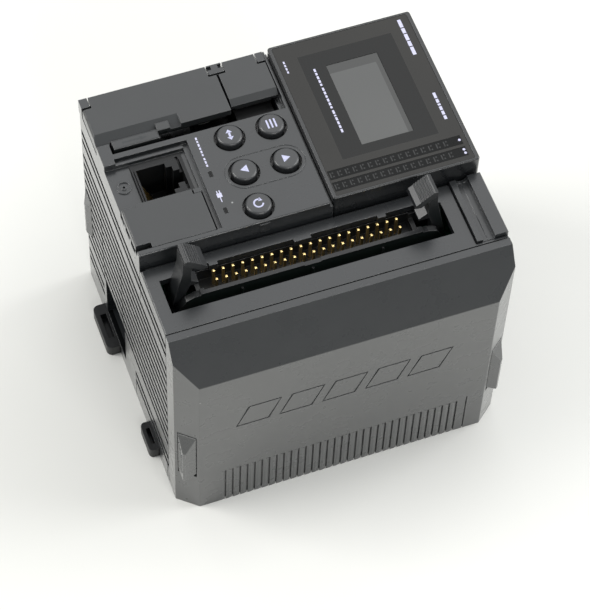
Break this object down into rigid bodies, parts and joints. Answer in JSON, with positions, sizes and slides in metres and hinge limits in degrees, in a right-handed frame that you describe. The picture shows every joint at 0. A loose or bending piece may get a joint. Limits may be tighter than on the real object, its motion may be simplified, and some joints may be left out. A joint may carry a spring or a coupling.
{
  "type": "plc module",
  "caption": "Block-shaped controller base unit with a display, round keys, hinged covers, a long pin header with ejector levers and a rail mount.",
  "frame": {"origin": "centre of the rail seat, on the floor of the rail channel at the middle of the body", "axes": "+Z comes out of the front panel, away from the rail; +X is up when the unit hangs on its rail; Y runs along the rail, with -Y towards the end cover"},
  "size_m": [0.0947, 0.0804, 0.086],
  "materials": {
    "case": "satin",
    "cover": "satin",
    "bezel": "satin",
    "film": "gloss",
    "screen": "gloss",
    "lamp_window": "gloss",
    "lamp": "gloss",
    "key": "satin",
    "lever": "matte",
    "lock": "satin",
    "latch": "satin",
    "black_plastic": "matte",
    "slider": "satin",
    "contact": "polished",
    "steel": "satin",
    "brass": "satin",
    "board": "satin",
    "battery": "satin"
  },
  "bodies": {
    "base": {"backup_battery": "battery", "battery_holder": "black_plastic", "board_screws": "steel", "card_slot": "black_plastic", "case_screws": "steel", "connector_deck": "case", "cover_hinge_pins": "steel", "display_board": "board", "display_film": "film", "display_housing": "bezel", "display_plug": "black_plastic", "end_cover": "case", "expansion_connector": "black_plastic", "expansion_contacts": "contact", "front_board": "board", "front_case": "case", "header_housing": "black_plastic", "header_pins": "contact", "jack_contacts": "contact", "key_switches": "black_plastic", "label_rail": "case", "lamp_windows": "lamp_window", "lcd_frame": "steel", "lcd_panel": "screen", "light_pipes": "lamp", "lower_posts": "brass", "middle_posts": "brass", "mode_switch_body": "black_plastic", "modular_jack": "black_plastic", "power_board": "board", "power_parts": "black_plastic", "processor_board": "board", "processor_chips": "black_plastic", "rear_case": "case", "stack_connectors": "black_plastic", "status_leds": "lamp", "supply_connector": "black_plastic", "upper_posts": "brass", "usb_hinge_pin": "steel", "usb_socket": "steel", "usb_tongue": "black_plastic"},
    "key_transfer": {"key_transfer": "key"},
    "key_menu": {"key_menu": "key"},
    "key_down": {"key_down": "key"},
    "key_up": {"key_up": "key"},
    "key_return": {"key_return": "key"},
    "large_cover": {"large_cover": "cover"},
    "cover_latch": {"cover_latch": "cover"},
    "card_cover": {"card_cover": "cover"},
    "usb_cover": {"usb_cover": "cover"},
    "mode_slider": {"mode_slider": "slider"},
    "ejector_upper": {"ejector_upper": "lever"},
    "ejector_lower": {"ejector_lower": "lever"},
    "end_lock_lower": {"end_lock_lower": "lock"},
    "end_lock_upper": {"end_lock_upper": "lock"},
    "far_lock_lower": {"far_lock_lower": "lock"},
    "far_lock_upper": {"far_lock_upper": "lock"},
    "rail_latch": {"rail_latch": "latch"},
    "small_latch": {"small_latch": "latch"}
  },
  "joints": [
    {"name": "key_transfer_press", "type": "slide", "parent": "base", "child": "key_transfer", "axis": [0, 0, -1], "range_m": [0, 0.0005], "stiffness_N_per_m": 400},
    {"name": "key_menu_press", "type": "slide", "parent": "base", "child": "key_menu", "axis": [0, 0, -1], "range_m": [0, 0.0005], "stiffness_N_per_m": 400},
    {"name": "key_down_press", "type": "slide", "parent": "base", "child": "key_down", "axis": [0, 0, -1], "range_m": [0, 0.0005], "stiffness_N_per_m": 400},
    {"name": "key_up_press", "type": "slide", "parent": "base", "child": "key_up", "axis": [0, 0, -1], "range_m": [0, 0.0005], "stiffness_N_per_m": 400},
    {"name": "key_return_press", "type": "slide", "parent": "base", "child": "key_return", "axis": [0, 0, -1], "range_m": [0, 0.0005], "stiffness_N_per_m": 400},
    {"name": "large_cover_hinge", "type": "hinge", "parent": "base", "child": "large_cover", "pos_m": [-0.027, 0.03865, 0.0693], "axis": [-1, 0, 0], "range_deg": [0, 110]},
    {"name": "cover_latch_slide", "type": "slide", "parent": "large_cover", "child": "cover_latch", "axis": [1, 0, 0], "range_m": [0, 0.0024]},
    {"name": "card_cover_hinge", "type": "hinge", "parent": "base", "child": "card_cover", "pos_m": [-0.0022, 0.03865, 0.0693], "axis": [-1, 0, 0], "range_deg": [0, 110]},
    {"name": "usb_cover_hinge", "type": "hinge", "parent": "base", "child": "usb_cover", "pos_m": [-0.0253, -0.0017, 0.0694], "axis": [0, 1, 0], "range_deg": [0, 85]},
    {"name": "mode_slider_slide", "type": "slide", "parent": "base", "child": "mode_slider", "axis": [1, 0, 0], "range_m": [0, 0.003]},
    {"name": "ejector_upper_hinge", "type": "hinge", "parent": "base", "child": "ejector_upper", "pos_m": [0.0305, -0.01725, 0.058], "axis": [0, 1, 0], "range_deg": [0, 10]},
    {"name": "ejector_lower_hinge", "type": "hinge", "parent": "base", "child": "ejector_lower", "pos_m": [-0.0379, -0.01725, 0.058], "axis": [0, -1, 0], "range_deg": [0, 10]},
    {"name": "end_lock_lower_press", "type": "slide", "parent": "base", "child": "end_lock_lower", "axis": [0.6388, 0.7694, 0], "range_m": [0, 0.0014], "stiffness_N_per_m": 600},
    {"name": "end_lock_upper_press", "type": "slide", "parent": "base", "child": "end_lock_upper", "axis": [-0.6388, 0.7694, 0], "range_m": [0, 0.0014], "stiffness_N_per_m": 600},
    {"name": "far_lock_lower_press", "type": "slide", "parent": "base", "child": "far_lock_lower", "axis": [1, 0, 0], "range_m": [0, 0.0013], "stiffness_N_per_m": 600},
    {"name": "far_lock_upper_press", "type": "slide", "parent": "base", "child": "far_lock_upper", "axis": [-1, 0, 0], "range_m": [0, 0.0013], "stiffness_N_per_m": 600},
    {"name": "rail_latch_slide", "type": "slide", "parent": "base", "child": "rail_latch", "axis": [-1, 0, 0], "range_m": [0, 0.003], "stiffness_N_per_m": 600},
    {"name": "small_latch_slide", "type": "slide", "parent": "base", "child": "small_latch", "axis": [-1, 0, 0], "range_m": [0, 0.002]}
  ]
}
